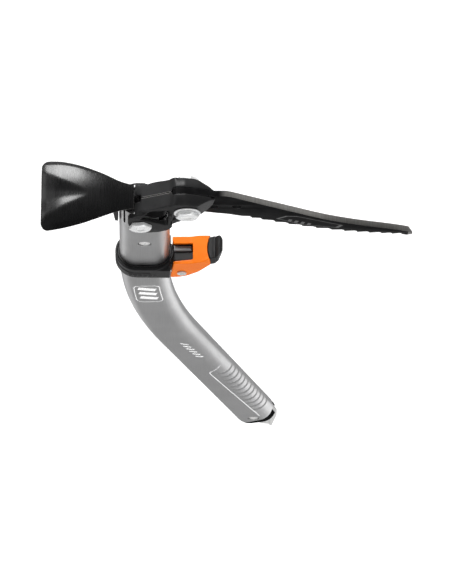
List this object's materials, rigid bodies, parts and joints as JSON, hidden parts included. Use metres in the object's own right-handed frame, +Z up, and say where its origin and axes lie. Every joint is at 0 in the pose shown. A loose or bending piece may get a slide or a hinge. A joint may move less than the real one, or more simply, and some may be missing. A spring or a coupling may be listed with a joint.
{
  "type": "technical ice axe",
  "caption": "Technical ice axe with a bent oval shaft, bolted split head carrying a drooped pick and adze, spike, and a sliding finger rest released by a sprung trigger.",
  "frame": {"origin": "inside the head's carabiner eye, on the centre line of the straight upper shaft", "axes": "+Z up along the straight upper shaft from the spike end to the head, +X forward along the pick, +Y towards the far side of the head; the middle plane of the tool is Y = 0"},
  "size_m": [0.2406, 0.0468, 0.5304],
  "materials": {
    "shaft_tube": "satin blasted and anodised",
    "head_forging": "satin black",
    "black_nylon": "satin",
    "pick_steel": "black coating with a ground edge",
    "adze_steel": "gloss black",
    "bright_zinc": "bright",
    "stainless": "brushed",
    "liner_nylon": "matte",
    "black_rubber": "matte",
    "orange_nylon": "satin orange",
    "grey_bar": "satin grey"
  },
  "bodies": {
    "axe": {"shaft_tube": "shaft_tube", "head_cheek_near": "head_forging", "head_cheek_far": "head_forging", "head_insert": "black_nylon", "shaft_top_plug": "black_nylon", "pick": "pick_steel", "adze": "adze_steel", "front_washer": "bright_zinc", "front_bolt": "bright_zinc", "front_nut": "bright_zinc", "rear_bolt": "bright_zinc", "head_rivet": "stainless", "spike": "stainless", "spike_plug": "black_nylon", "spike_rivet": "stainless"},
    "handrest": {"rest_body": "black_nylon", "rest_liner": "liner_nylon", "rest_tip": "black_rubber", "trigger_pin": "stainless", "trigger_spring": "stainless", "spine_bar": "grey_bar", "brake_pad": "black_rubber"},
    "trigger_lever": {"trigger": "orange_nylon"}
  },
  "joints": [
    {"name": "handrest_slide", "type": "slide", "parent": "axe", "child": "handrest", "axis": [0, 0, 1], "range_m": [-0.008, 0.055]},
    {"name": "trigger_hinge", "type": "hinge", "parent": "handrest", "child": "trigger_lever", "pos_m": [0.0251, 0, -0.111], "axis": [0, -1, 0], "range_deg": [0, 7], "stiffness_Nm_per_rad": 1.2, "springref_deg": -14.32}
  ]
}
